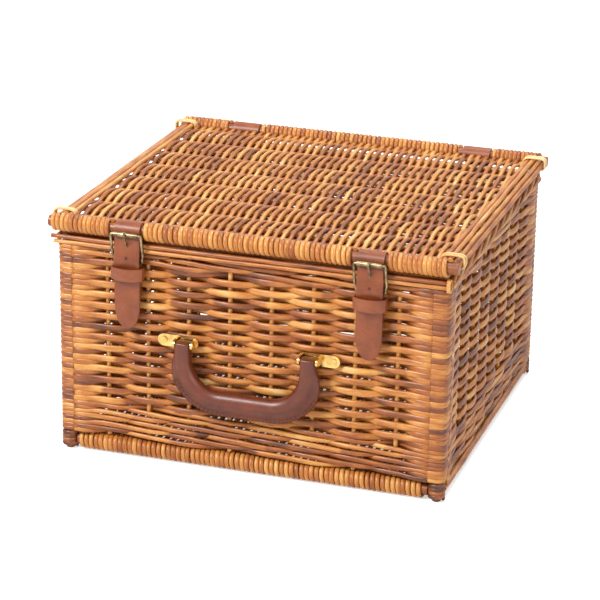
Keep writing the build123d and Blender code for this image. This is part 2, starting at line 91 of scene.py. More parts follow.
POST_BOX = box_mm("corner_posts")
MID_Y = float(middle_mm("corner_posts")[1])


@dataclass
class Mesh:
    """A mesh as whole arrays, in millimetres.

    Args:
        points: vertex places, one row each.
        quads: four-sided faces as vertex numbers.
        caps: flat end faces, all with the same number of corners.
        uv: one pair per corner of quads, then of caps.
        tone: one number per vertex, 0 dark to 1 pale.
    """

    points: Array
    quads: Array
    caps: Array
    uv: Array
    tone: Array


def joined(parts: list[Mesh]) -> Mesh:
    """Several meshes as one.

    Args:
        parts: meshes whose caps have equal numbers of corners.

    Returns:
        One mesh that holds them all.
    """
    starts = np.cumsum([0] + [len(p.points) for p in parts[:-1]])
    quad_uv = [p.uv[:4 * len(p.quads)] for p in parts]
    cap_uv = [p.uv[4 * len(p.quads):] for p in parts]
    return Mesh(np.concatenate([p.points for p in parts]),
                np.concatenate([p.quads + s for p, s in zip(parts, starts)]),
                np.concatenate([p.caps + s for p, s in zip(parts, starts)]),
                np.concatenate(quad_uv + cap_uv),
                np.concatenate([p.tone for p in parts]))


def swept(line: Array, wide: Array | float, deep: Array | float, side: Array, tone: Array | float,
          corners: int = 8, closed: bool = False, power: float = 1.0) -> Mesh:
    """Carries an oval along many middle lines at once.

    The section at a station is its middle, plus wide times cos(a) along the side direction, plus deep
    times sin(a) along the direction that is square to both the line and the side direction, where a goes
    once round. A power under 1 squares the oval off.

    Args:
        line: middle lines, rods by stations by three.
        wide: half size along the side direction.
        deep: half size square to it.
        side: side direction, which is made square to the line.
        tone: tone of each rod or station.
        corners: points round the section.
        closed: whether each line runs back into its own start.
        power: power applied to the size of cos and sin.

    Returns:
        The mesh of all rods, with length along the rod in metres as the second map coordinate.
    """
    rods, stations, _ = line.shape
    if closed:
        run = np.roll(line, -1, axis=1) - np.roll(line, 1, axis=1)
    else:
        run = np.gradient(line, axis=1)
    run /= np.linalg.norm(run, axis=2, keepdims=True)
    side = np.broadcast_to(np.asarray(side, float), line.shape)
    side = side - (side * run).sum(2, keepdims=True) * run
    side = side / np.linalg.norm(side, axis=2, keepdims=True)
    out = np.cross(run, side)
    turn = 2 * math.pi * np.arange(corners) / corners - math.pi / 2
    cos, sin = np.cos(turn), np.sin(turn)
    cos = np.sign(cos) * np.abs(cos) ** power
    sin = np.sign(sin) * np.abs(sin) ** power
    wide = np.broadcast_to(np.asarray(wide, float), (rods, stations))[:, :, None, None]
    deep = np.broadcast_to(np.asarray(deep, float), (rods, stations))[:, :, None, None]
    rings = (line[:, :, None, :] + wide * cos[None, None, :, None] * side[:, :, None, :]
             + deep * sin[None, None, :, None] * out[:, :, None, :])
    number = np.arange(rods * stations * corners).reshape(rods, stations, corners)
    here = number if closed else number[:, :-1]
    ahead = np.roll(number, -1, axis=1) if closed else number[:, 1:]
    quads = np.stack([here, np.roll(here, -1, 2), np.roll(ahead, -1, 2), ahead], -1).reshape(-1, 4)
    length = np.zeros((rods, stations + 1))
    step = np.linalg.norm(np.roll(line, -1, axis=1) - line, axis=2)
    length[:, 1:] = np.cumsum(step, axis=1) * MM
    offset = np.arange(rods)[:, None] * 0.37
    there = (length[:, 1:] if closed else length[:, 1:-1]) + offset
    back = (length[:, :-1] if closed else length[:, :-2]) + offset
    spans = back.shape[1]
    u0 = np.broadcast_to(np.arange(corners) / corners, (rods, spans, corners))
    v0 = np.broadcast_to(back[:, :, None], u0.shape)
    v1 = np.broadcast_to(there[:, :, None], u0.shape)
    u1 = u0 + 1 / corners
    uv = np.stack([np.stack([u0, v0], -1), np.stack([u1, v0], -1),
                   np.stack([u1, v1], -1), np.stack([u0, v1], -1)], -2).reshape(-1, 2)
    if closed:
        caps = np.zeros((0, corners), int)
    else:
        caps = np.concatenate([number[:, 0, ::-1], number[:, -1, :]])
    cap_uv = np.tile(np.stack([turn * 0.02, turn * 0.003], -1), (len(caps), 1))
    tone = np.asarray(tone, float)
    if tone.ndim == 1:
        tone = tone[:, None]
    tones = np.broadcast_to(tone if tone.ndim else tone.reshape(1, 1), (rods, stations))
    return Mesh(rings.reshape(-1, 3), quads, caps, np.concatenate([uv, cap_uv]),
                np.repeat(tones.reshape(-1), corners))


def smooth_noise(rng: np.random.Generator, rods: int, stations: int, knots: int) -> Array:
    """Slow random wander along each rod: random heights at a few knots, joined by half cosine waves.

    Args:
        rng: seeded source of numbers.
        rods: number of rods.
        stations: stations on each.
        knots: random heights on each.

    Returns:
        Rods by stations, between -1 and 1.
    """
    heights = rng.uniform(-1, 1, (rods, knots + 1))
    place = np.linspace(0, knots - 1e-6, stations)
    low = place.astype(int)
    share = 0.5 - 0.5 * np.cos(math.pi * (place - low))
    return heights[:, low] * (1 - share) + heights[:, low + 1] * share


def step_up(x: Array) -> Array:
    """Smooth step: 0 below 0, 1 above 1, and 3xx - 2xxx between."""
    x = np.clip(x, 0, 1)
    return x * x * (3 - 2 * x)


def made(name: str, mesh: Mesh, material: bpy.types.Material, body: str,
         stands_for: tuple[str, ...] = ()) -> bpy.types.Object:
    """Puts a mesh into the scene as a piece of the basket.

    Args:
        name: name of the piece.
        mesh: its shape, in millimetres.
        material: its finish.
        body: body that it moves with.
        stands_for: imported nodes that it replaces.

    Returns:
        The new object, at the origin.
    """
    data = bpy.data.meshes.new(name)
    corners = mesh.caps.shape[1]
    loops = np.concatenate([mesh.quads.reshape(-1), mesh.caps.reshape(-1)]).astype(np.int32)
    starts = np.concatenate([np.arange(len(mesh.quads)) * 4,
                             len(mesh.quads) * 4 + np.arange(len(mesh.caps)) * corners]).astype(np.int32)
    data.vertices.add(len(mesh.points))
    data.loops.add(len(loops))
    data.polygons.add(len(starts))
    data.vertices.foreach_set("co", (mesh.points * MM).astype(np.float32).reshape(-1))
    data.loops.foreach_set("vertex_index", loops)
    data.polygons.foreach_set("loop_start", starts)
    smooth = np.ones(len(starts), bool)
    smooth[len(mesh.quads):] = False
    data.update(calc_edges=True)
    data.polygons.foreach_set("use_smooth", smooth)
    data.uv_layers.new(name="along")
    data.uv_layers["along"].data.foreach_set("uv", mesh.uv.astype(np.float32).reshape(-1))
    data.attributes.new("tone", "FLOAT", "POINT").data.foreach_set("value", mesh.tone.astype(np.float32))
    data.validate()
    data.materials.append(material)
    piece = bpy.data.objects.new(name, data)
    bpy.context.scene.collection.objects.link(piece)
    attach(piece, body)
    if stands_for:
        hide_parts(*stands_for)
    LOG.info("%s: %d faces, on %s", name, len(starts), body)
    return piece


class NodeSheet:
    """A material's node tree, with short calls that add and link nodes."""

    def __init__(self, name: str) -> None:
        """Starts an empty material with a surface shader.

        Args:
            name: name of the material.
        """
        self.material = bpy.data.materials.new(name)
        self.material.use_nodes = True
        self.tree: Tree = self.material.node_tree
        self.tree.nodes.clear()
        self.shader = self.add("ShaderNodeBsdfPrincipled")
        out = self.add("ShaderNodeOutputMaterial")
        self.tree.links.new(self.shader.outputs[0], out.inputs[0])

    def add(self, kind: str, **settings: object) -> Node:
        """Adds a node and sets its properties.

        Args:
            kind: node type.
            settings: properties to set on it.

        Returns:
            The node.
        """
        node = self.tree.nodes.new(kind)
        for key, value in settings.items():
            setattr(node, key, value)
        return node

    def link(self, source: bpy.types.NodeSocket, node: Node, socket: str | int) -> None:
        """Links an output socket to an input of a node."""
        self.tree.links.new(source, node.inputs[socket])

    def math(self, operation: str, a: bpy.types.NodeSocket, b: bpy.types.NodeSocket | float,
             clamp: bool = False) -> bpy.types.NodeSocket:
        """Adds a sum on two values.

        Args:
            operation: name of the operation.
            a: first value.
            b: second value, linked or fixed.
            clamp: whether the result is held between 0 and 1.

        Returns:
            The result.
        """
        node = self.add("ShaderNodeMath", operation=operation, use_clamp=clamp)
        self.link(a, node, 0)
        if isinstance(b, float):
            node.inputs[1].default_value = b
        else:
            self.link(b, node, 1)
        return node.outputs[0]

    def noise(self, where: bpy.types.NodeSocket, size: float, detail: float = 2.0) -> bpy.types.NodeSocket:
        """Adds noise of a given scale and returns its value."""
        node = self.add("ShaderNodeTexNoise")
        node.inputs["Scale"].default_value = size
        node.inputs["Detail"].default_value = detail
        self.link(where, node, "Vector")
        return node.outputs["Fac"]

    def stretched(self, where: bpy.types.NodeSocket,
                  scale: tuple[float, float, float]) -> bpy.types.NodeSocket:
        """Stretches coordinates by a factor along each axis."""
        node = self.add("ShaderNodeMapping")
        node.inputs["Scale"].default_value = scale
        self.link(where, node, "Vector")
        return node.outputs[0]

    def ramp(self, value: bpy.types.NodeSocket, stops: list[tuple[float, tuple]]) -> bpy.types.NodeSocket:
        """Turns a value into a colour.

        Args:
            value: number between 0 and 1.
            stops: place and colour of each stop.

        Returns:
            The colour.
        """
        node = self.add("ShaderNodeValToRGB")
        while len(node.color_ramp.elements) < len(stops):
            node.color_ramp.elements.new(0.5)
        for element, (place, colour) in zip(node.color_ramp.elements, stops):
            element.position = place
            element.color = (*colour, 1)
        self.link(value, node, 0)
        return node.outputs[0]

    def bump(self, height: bpy.types.NodeSocket, strength: float, depth: float) -> None:
        """Roughens the surface with a height.

        Args:
            height: height, 0 to 1.
            strength: share of the full effect.
            depth: height of 1 in metres.
        """
        node = self.add("ShaderNodeBump")
        node.inputs["Strength"].default_value = strength
        node.inputs["Distance"].default_value = depth
        self.link(height, node, "Height")
        self.link(node.outputs[0], self.shader, "Normal")


@dataclass(frozen=True)
class WillowFinish:
    """Varnished willow: colour by tone, streaks along the rod, knots, and a thin gloss coat.

    Args:
        name: name of the material.
        base_tone: tone added to each rod's own.
        mapped: whether the piece has its own map along the rod.
        spread: how strongly the streaks change the tone.
    """

    name: str
    base_tone: float = 0.0
    mapped: bool = True
    spread: float = 1.0

    def material(self) -> bpy.types.Material:
        """Builds the material and returns it."""
        sheet = NodeSheet(self.name)
        if self.mapped:
            where = sheet.add("ShaderNodeUVMap", uv_map="along").outputs[0]
            streak_at = sheet.stretched(where, (3.0, 34.0, 1.0))
            grain_at = sheet.stretched(where, (26.0, 120.0, 1.0))
            knot_at = sheet.stretched(where, (2.0, 30.0, 1.0))
        else:
            where = sheet.add("ShaderNodeTexCoord").outputs["Object"]
            streak_at = sheet.stretched(where, (70.0, 70.0, 70.0))
            grain_at = sheet.stretched(where, (700.0, 700.0, 300.0))
            knot_at = sheet.stretched(where, (40.0, 40.0, 40.0))
        own = sheet.add("ShaderNodeAttribute", attribute_name="tone").outputs["Fac"]
        streak = sheet.noise(streak_at, 1.0, 3.0)
        grain = sheet.noise(grain_at, 1.0, 2.0)
        knots = sheet.add("ShaderNodeTexVoronoi")
        sheet.link(knot_at, knots, "Vector")
        spot = sheet.add("ShaderNodeMapRange")
        spot.inputs["From Min"].default_value = 0.05
        spot.inputs["From Max"].default_value = 0.16
        spot.inputs["To Min"].default_value = 0.42
        spot.inputs["To Max"].default_value = 0.0
        sheet.link(knots.outputs["Distance"], spot, "Value")
        wander = sheet.math("MULTIPLY", sheet.math("SUBTRACT", streak, 0.5), 0.75 * self.spread)
        fine = sheet.math("MULTIPLY", sheet.math("SUBTRACT", grain, 0.5), 0.16)
        tone = sheet.math("ADD", sheet.math("ADD", own, self.base_tone), wander)
        tone = sheet.math("SUBTRACT", sheet.math("ADD", tone, fine), spot.outputs[0], clamp=True)
        colour = sheet.ramp(tone, [(0.0, (0.030, 0.007, 0.002)), (0.22, (0.125, 0.030, 0.006)),
                                   (0.42, (0.33, 0.088, 0.012)), (0.58, (0.54, 0.190, 0.030)),
                                   (0.78, (0.74, 0.37, 0.090)), (1.0, (0.90, 0.68, 0.34))])
        sheet.link(colour, sheet.shader, "Base Color")
        rough = sheet.math("ADD", sheet.math("MULTIPLY", grain, 0.25), 0.34)
        sheet.link(rough, sheet.shader, "Roughness")
        sheet.shader.inputs["Coat Weight"].default_value = 0.35
        sheet.shader.inputs["Coat Roughness"].default_value = 0.25
        sheet.shader.inputs["Specular IOR Level"].default_value = 0.45
        sheet.bump(sheet.math("ADD", grain, sheet.math("MULTIPLY", streak, 0.8)), 0.35, 0.0004)
        return sheet.material


@dataclass(frozen=True)
class LeatherFinish:
    """Tan leather: fine pores, faint creases, darker clouds and a soft shine.

    Args:
        name: name of the material.
        dark: colour of the clouds.
        light: colour between them.
        rough: roughness between creases.
        coat: weight of the soft shine.
    """

    name: str
    dark: tuple[float, float, float]
    light: tuple[float, float, float]
    rough: float = 0.42
    coat: float = 0.12

    def material(self) -> bpy.types.Material:
        """Builds the material and returns it."""
        sheet = NodeSheet(self.name)
        where = sheet.add("ShaderNodeTexCoord").outputs["Object"]
        clouds = sheet.noise(where, 60.0, 3.0)
        pores = sheet.add("ShaderNodeTexVoronoi")
        pores.inputs["Scale"].default_value = 1300.0
        sheet.link(where, pores, "Vector")
        creases = sheet.noise(sheet.stretched(where, (1.0, 1.0, 3.0)), 260.0, 4.0)
        mixed = sheet.math("ADD", sheet.math("MULTIPLY", clouds, 0.7), sheet.math("MULTIPLY", creases, 0.3))
        colour = sheet.ramp(mixed, [(0.30, self.dark), (0.66, self.light)])
        sheet.link(colour, sheet.shader, "Base Color")
        sheet.link(sheet.math("ADD", sheet.math("MULTIPLY", creases, 0.22), self.rough - 0.11),
                   sheet.shader, "Roughness")
        sheet.shader.inputs["Coat Weight"].default_value = self.coat
        sheet.shader.inputs["Coat Roughness"].default_value = 0.3
        sheet.bump(sheet.math("ADD", sheet.math("MULTIPLY", pores.outputs["Distance"], 0.5), creases),
                   0.30, 0.00025)
        return sheet.material


@dataclass(frozen=True)
class BrassFinish:
    """Brass with worn bright places and a patina in clouds.

    Args:
        name: name of the material.
        bright: colour where it is worn.
        patina: colour of the clouds.
        rough: roughness of the bright places.
    """

    name: str
    bright: tuple[float, float, float]
    patina: tuple[float, float, float]
    rough: float

    def material(self) -> bpy.types.Material:
        """Builds the material and returns it."""
        sheet = NodeSheet(self.name)
        where = sheet.add("ShaderNodeTexCoord").outputs["Object"]
        clouds = sheet.noise(where, 170.0, 4.0)
        scratches = sheet.noise(sheet.stretched(where, (1.0, 1.0, 7.0)), 600.0, 2.0)
        colour = sheet.ramp(clouds, [(0.38, self.patina), (0.62, self.bright)])
        sheet.link(colour, sheet.shader, "Base Color")
        sheet.shader.inputs["Metallic"].default_value = 1.0
        rough = sheet.math("ADD", sheet.math("MULTIPLY", clouds, 0.25), self.rough)
        sheet.link(rough, sheet.shader, "Roughness")
        sheet.bump(scratches, 0.15, 0.0001)
        return sheet.material


@dataclass(frozen=True)
class CordFinish:
    """Twisted fibre cord: slanted dark and pale bands."""

    name: str = "fibre_cord"

    def material(self) -> bpy.types.Material:
        """Builds the material and returns it."""
        sheet = NodeSheet(self.name)
        where = sheet.add("ShaderNodeTexCoord").outputs["Object"]
        fibres = sheet.noise(sheet.stretched(where, (300.0, 900.0, 300.0)), 1.0, 3.0)
        sheet.link(sheet.ramp(fibres, [(0.3, (0.30, 0.22, 0.13)), (0.7, (0.62, 0.50, 0.34))]),
                   sheet.shader, "Base Color")
        sheet.shader.inputs["Roughness"].default_value = 0.9
        sheet.bump(fibres, 0.5, 0.0005)
        return sheet.material


class Finishes:
    """Every finish of the basket, built once."""

    def __init__(self) -> None:
        """Builds the materials."""
        self.weave = WillowFinish("willow_weave").material()
        self.stakes = WillowFinish("willow_stakes", base_tone=0.72, mapped=False, spread=0.5).material()
        self.sticks = WillowFinish("willow_sticks", base_tone=0.36, mapped=False, spread=0.7).material()
        self.strap = LeatherFinish("strap_leather", (0.16, 0.031, 0.007), (0.29, 0.070, 0.016)).material()
        self.keeper = LeatherFinish("keeper_leather", (0.19, 0.040, 0.010), (0.33, 0.085, 0.021)).material()
        self.handle = LeatherFinish("handle_leather", (0.085, 0.013, 0.003), (0.17, 0.030, 0.007),
                                    rough=0.36, coat=0.22).material()
        self.thread = LeatherFinish("handle_thread", (0.06, 0.015, 0.008), (0.12, 0.035, 0.018),
                                    rough=0.7, coat=0.0).material()
        self.antique = BrassFinish("antique_brass", (0.46, 0.36, 0.20), (0.16, 0.12, 0.065),
                                   0.24).material()
        # painted light: this brass is made much lighter than the buckles' to paint in the light that the
        # faces of the handle fittings catch
        self.bright = BrassFinish("bright_brass", (0.90, 0.62, 0.22), (0.62, 0.38, 0.12), 0.10).material()
        self.cord = CordFinish().material()


@dataclass
class Wall:
    """One woven wall: rows of willow that pass in and out of its stakes.

    Args:
        side: which wall.
        node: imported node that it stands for.
        post_at: distance of the wall's middle plane from the middle of the basket.
        half: half length between the middles of the corner posts.
        wales: rows of the waled band at the foot.
        seed: seed of its random numbers.
        stakes: number of stakes.
        rand_pitch: height of a plain row.
        wale_pitch: height of a waled row.
        rand_rows: number of plain rows.
        top_wales: rows of the waled band under the rim.
        swing: how far a row's middle goes in and out.
        thick: half thickness of a weaver through the wall.
        corner_swing: how far out a row's middle is where it meets a corner post.
        stop: distance of a row's end from the middle of the corner post.
        rand_tall: half height of a plain weaver as a share of its row.
        wale_tall: half height of a waled weaver as a share of its row.
    """

    side: Side
    node: str
    post_at: float
    half: float
    wales: int
    seed: int
    stakes: int = 8
    rand_pitch: float = 5.6
    wale_pitch: float = 4.2
    rand_rows: int = 27
    top_wales: int = 3
    swing: float = 3.95
    thick: float = 1.95
    corner_swing: float = 6.55
    stop: float = 8.3
    rand_tall: float = 0.66
    wale_tall: float = 0.64

    def levels(self) -> list[tuple[Weave, int, float]]:
        """Kind, shift and middle level of every row, foot to rim."""
        top = float(box_mm(self.node)[1][2])
        rand_top = top - self.top_wales * self.wale_pitch
        band_top = rand_top - self.rand_rows * self.rand_pitch
        rows = [(Weave.WALE, n % 3, band_top - (self.wales - n - 0.5) * self.wale_pitch)
                for n in range(self.wales)]
        rows += [(Weave.RAND, n % 2, band_top + (n + 0.5) * self.rand_pitch) for n in range(self.rand_rows)]
        rows += [(Weave.WALE, n % 3, rand_top + (n + 0.5) * self.wale_pitch) for n in range(self.top_wales)]
        return rows

    def placed(self, u: Array, w: Array, z: Array) -> Array:
        """Points from along, outward and upward distances on this wall."""
        along, out = np.array(self.side.value[0], float), np.array(self.side.value[1], float)
        middle = np.array((0, MID_Y, 0))
        flat = middle + u[..., None] * along + (w[..., None] + self.post_at) * out
        return flat + z[..., None] * (0, 0, 1.0)

    def rows(self) -> Mesh:
        """The rows of the wall.

        A plain row swings out and in as a cosine with one half wave to each stake. A waled row stays out
        but for a bell-shaped dip behind every third stake, and climbs and falls by a sine over each three.
        Near the corner posts every row eases to the outside, where the turns round the posts take over.

        Returns:
            The mesh of all rows.
        """
        rng = np.random.default_rng(self.seed)
        rows = self.levels()
        count = len(rows)
        kind = np.array([r[0] is Weave.WALE for r in rows])[:, None]
        shift = np.array([r[1] for r in rows], float)[:, None]
        level = np.array([r[2] for r in rows])[:, None]
        pitch = 2 * self.half / (self.stakes + 1)
        end = self.half - self.stop + 0.9
        stations = 9 * (self.stakes + 1) + 1
        u = np.broadcast_to(np.linspace(-end, end, stations), (count, stations))
        s = (u + self.half) / pitch - 1
        plain = np.cos(math.pi * (s + shift))
        plain = np.sign(plain) * np.abs(plain) ** 0.8
        near = np.mod(s - shift + 1.5, 3) - 1.5
        dip = np.exp(-(near / 0.52) ** 2)
        w = np.where(kind, 1 - 2 * dip, plain) * self.swing
        last = self.half - pitch
        ease = step_up((np.abs(u) - last) / (end - last - 6))
        w = w * (1 - ease) + self.corner_swing * ease
        rise = 1.25 * np.sin(2 * math.pi * np.mod(s - shift, 3) / 3) * (1 - ease)
        z = level + np.where(kind, rise, 0) + 0.34 * smooth_noise(rng, count, stations, 13) * (1 - ease)
        tall = np.where(kind, self.wale_tall * self.wale_pitch, self.rand_tall * self.rand_pitch)
        tall = tall * (1 + 0.09 * smooth_noise(rng, count, stations, 11) - 0.10 * (1 - ease) * np.where(
            kind, 0.0, np.sin(math.pi * s) ** 2))
        deep = self.thick * (1 + 0.10 * smooth_noise(rng, count, stations, 9))
        changes = rng.uniform(0.0, 1.0, (count, 5))
        piece = np.clip(((u + end) / (2 * end) * 4 + rng.uniform(0, 1, (count, 1))).astype(int), 0, 4)
        tone = 0.50 + 0.34 * (np.take_along_axis(changes, piece, 1) - 0.5) + 0.07 * smooth_noise(
            rng, count, stations, 8)
        tone = tone + 0.04 * rng.choice([-1, 1], (count, 1))
        return swept(self.placed(u, w, z), tall, deep, (0, 0, 1), tone)

    def build(self, finishes: Finishes) -> None:
        """Builds the wall's woven rows.

        Args:
            finishes: the basket's finishes.
        """
        made("woven_" + self.node, self.rows(), finishes.weave, "basket", (self.node,))


@dataclass
class Corners:
    """The turns of the weavers round the corner posts, one to a row, and the windings of the feet.

    Args:
        front: the front wall, whose rows they carry on.
        post_x: distance of the posts from the middle, left and right.
        post_y: distance of the posts from the middle, front and back.
        post_r: radius of a post.
        foot_turns: turns of the winding at each foot.
        foot_low: level of the lowest winding.
        stations: points along each turn round a post.
    """

    front: Wall
    post_x: float
    post_y: float
    post_r: float = 4.5
    foot_turns: int = 4
    foot_low: float = 0.6
    stations: int = 15

    def turns(self) -> Mesh:
        """Arcs round the posts: a quarter circle with a straight run into each wall, one to a row.

        The arc's angle goes from past square to one wall to past square to the other, at the radius of the
        rows' outward swing, and the level holds the row's own.

        Returns:
            The mesh of all arcs.
        """
        rng = np.random.default_rng(51)
        rows = self.front.levels()
        level = np.array([r[2] for r in rows])
        front = self.front
        tall = np.array([front.wale_tall * front.wale_pitch if r[0] is Weave.WALE
                         else front.rand_tall * front.rand_pitch for r in rows])
        radius = self.front.corner_swing
        past = self.front.stop
        share = np.linspace(0, 1, self.stations)
        angle = -math.pi / 2 * (1 - np.clip((share - 0.25) / 0.5, 0, 1))
        lead = np.clip(1 - share / 0.25, 0, 1) * past
        trail = np.clip((share - 0.75) / 0.25, 0, 1) * past
        x = radius * np.cos(angle) - lead
        y = radius * np.sin(angle) + trail
        lines, wide, tones = [], [], []
        for sx, sy in ((1, -1), (1, 1), (-1, 1), (-1, -1)):
            cx, cy = sx * self.post_x, MID_Y + sy * self.post_y
            order = slice(None) if sx * sy < 0 else slice(None, None, -1)
            px = (cx + sx * x)[order]
            py = (cy - sy * y)[order]
            z = level[:, None] + 0.15 * smooth_noise(rng, len(level), self.stations, 3)
            lines.append(np.stack([np.broadcast_to(px, z.shape), np.broadcast_to(py, z.shape), z], -1))
            wide.append(np.broadcast_to(tall[:, None], z.shape) * 0.97)
            tones.append(np.broadcast_to(rng.uniform(0.30, 0.68, (len(level), 1)), z.shape))
        return swept(np.concatenate(lines), np.concatenate(wide), self.front.thick, (0, 0, 1),
                     np.concatenate(tones))

    def feet(self) -> Mesh:
        """Windings of the feet: a helix with a few turns round each post.

        Returns:
            The mesh of the four windings.
        """
        high = self.front.levels()[0][2] - self.front.wale_pitch / 2
        half = (high - self.foot_low) / self.foot_turns / 2
        stations = self.foot_turns * 18 + 1
        angle = np.linspace(0, 2 * math.pi * self.foot_turns, stations)
        climb = self.foot_low + half + (high - self.foot_low - 2 * half) * angle / angle[-1]
        radius = self.post_r + 0.3 + self.front.thick * 0.95
        lines = [np.stack([sx * self.post_x + radius * np.cos(angle), MID_Y + sy * self.post_y
                           + radius * np.sin(angle), climb], -1) for sx in (-1, 1) for sy in (-1, 1)]
        tone = 0.30 + 0.12 * np.sin(angle * 1.3)
        return swept(np.stack(lines), half, self.front.thick * 0.95, (0, 0, 1), np.stack([tone] * 4))

    def build(self, finishes: Finishes) -> None:
        """Builds the turns and the feet.

        Args:
            finishes: the basket's finishes.
        """
        made("corner_weave", joined([self.turns(), self.feet()]), finishes.weave, "basket",
             ("corner_turns",))


@dataclass
class Border:
    """The rods laid along the rim: long ones at front and back, a twisted pair at each side, a cap rod.

    Args:
        post_x: distance of the posts from the middle, left and right.
        post_y: distance of the posts from the middle, front and back.
        rod: radius of the rim rods.
        out: distance of the outer rods from the middle plane of the wall.
        inner: distance of the inner rods from it.
        cap: radius of the rod over the stakes.
        twist: length in which the twisted rods go once round.
    """

    post_x: float
    post_y: float
    rod: float = 2.3
    out: float = 7.3
    inner: float = 4.8
    cap: float = 2.5
    twist: float = 96.0

    def wandering(self, ends: Array, radius: Array, tone: Array, seed: int, amount: float = 0.35) -> Mesh:
        """Straight rods that wander a little.

        Args:
            ends: rods by two by three, the ends of each.
            radius: radius of each rod.
            tone: tone of each rod.
            seed: seed of the wander.
            amount: how far they wander.

        Returns:
            The mesh of the rods.
        """
        rng = np.random.default_rng(seed)
        share = np.linspace(0, 1, 61)
        line = ends[:, :1] * (1 - share[None, :, None]) + ends[:, 1:] * share[None, :, None]
        count = len(ends)
        for axis in (0, 1, 2):
            across = (np.ptp(ends[:, :, axis], 1) < 1)[:, None]
            line[:, :, axis] += amount * smooth_noise(rng, count, 61, 14) * across
        size = radius[:, None] * (1 + 0.07 * smooth_noise(rng, count, 61, 9))
        tones = tone[:, None] + 0.08 * smooth_noise(rng, count, 61, 9)
        return swept(line, size, size, (0, 0.001, 1), tones)

    def strokes(self) -> Mesh:
        """Twisted rods of the side rims: three rods that wind round one line, a third of a turn apart.

        Returns:
            The mesh of the twisted rods of both sides.
        """
        level = float(box_mm("border_rods")[0][2]) + 2 * self.rod + 0.15
        half = self.post_y + self.out - self.rod - 3.0
        y = np.linspace(-half, half, 161)
        lines, tones = [], []
        for sx in (-1, 1):
            for part in range(3):
                turn = 2 * math.pi * (y / self.twist + part / 3)
                lines.append(np.stack([sx * (self.post_x + self.out + 0.3 + 1.9 * np.cos(turn)), MID_Y + y,
                                       level + 2.75 * np.sin(turn)], -1))
                tones.append(np.full(len(y), 0.50 + 0.12 * part) + 0.06 * np.sin(y / 17 + part))
        return swept(np.stack(lines), 1.95, 1.95, (0, 0.001, 1), np.stack(tones))

    def build(self, finishes: Finishes) -> None:
        """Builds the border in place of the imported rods.

        Args:
            finishes: the basket's finishes.
        """
        low, high = box_mm("border_rods")
        lower = float(low[2]) + self.rod
        upper = lower + 2 * self.rod + 0.3
        cap_z = float(high[2]) - self.cap
        left, right = float(low[0]), float(high[0])
        ends, radius, tone = [], [], []
        for sy in (-1, 1):
            y_out = MID_Y + sy * (self.post_y + self.out)
            y_in = MID_Y + sy * (self.post_y - self.inner)
            for n, z in enumerate((lower, upper)):
                ends.append([(left + 3 * (1 - n), y_out, z), (right - 2 * n, y_out, z)])
                ends.append([(-self.post_x + 6.5, y_in, z), (self.post_x - 6.5, y_in, z)])
                radius += [self.rod, self.rod * 0.96]
                # painted shade: the upper outer rod is toned darker than the lower one (0.44 against 0.62)
                # for the shadow under the lid's edge
                tone += [0.62 - 0.18 * n, 0.45]
            ends.append([(-self.post_x - 4.5, MID_Y + sy * self.post_y, cap_z),
                         (self.post_x + 4.5, MID_Y + sy * self.post_y, cap_z)])
            radius.append(self.cap * 0.97)
            # painted shade: the cap rod's dark tone stands in for the shadow in the gap under the lid
            tone.append(0.40)
        half_in = self.post_y - self.inner - self.rod - 0.3
        half_cap = self.post_y - self.cap - 0.3
        for sx in (-1, 1):
            for z in (lower, upper):
                x = sx * (self.post_x - self.inner)
                ends.append([(x, MID_Y - half_in, z), (x, MID_Y + half_in, z)])
                radius.append(self.rod * 0.96)
                tone.append(0.45)
            ends.append([(sx * self.post_x, MID_Y - half_cap, cap_z),
                         (sx * self.post_x, MID_Y + half_cap, cap_z)])
            radius.append(self.cap * 0.97)
            tone.append(0.5)
        rods = self.wandering(np.array(ends, float), np.array(radius), np.array(tone), 7, 0.22)
        made("rim_rods", joined([rods, self.strokes()]), finishes.weave, "basket",
             ("border_rods",))


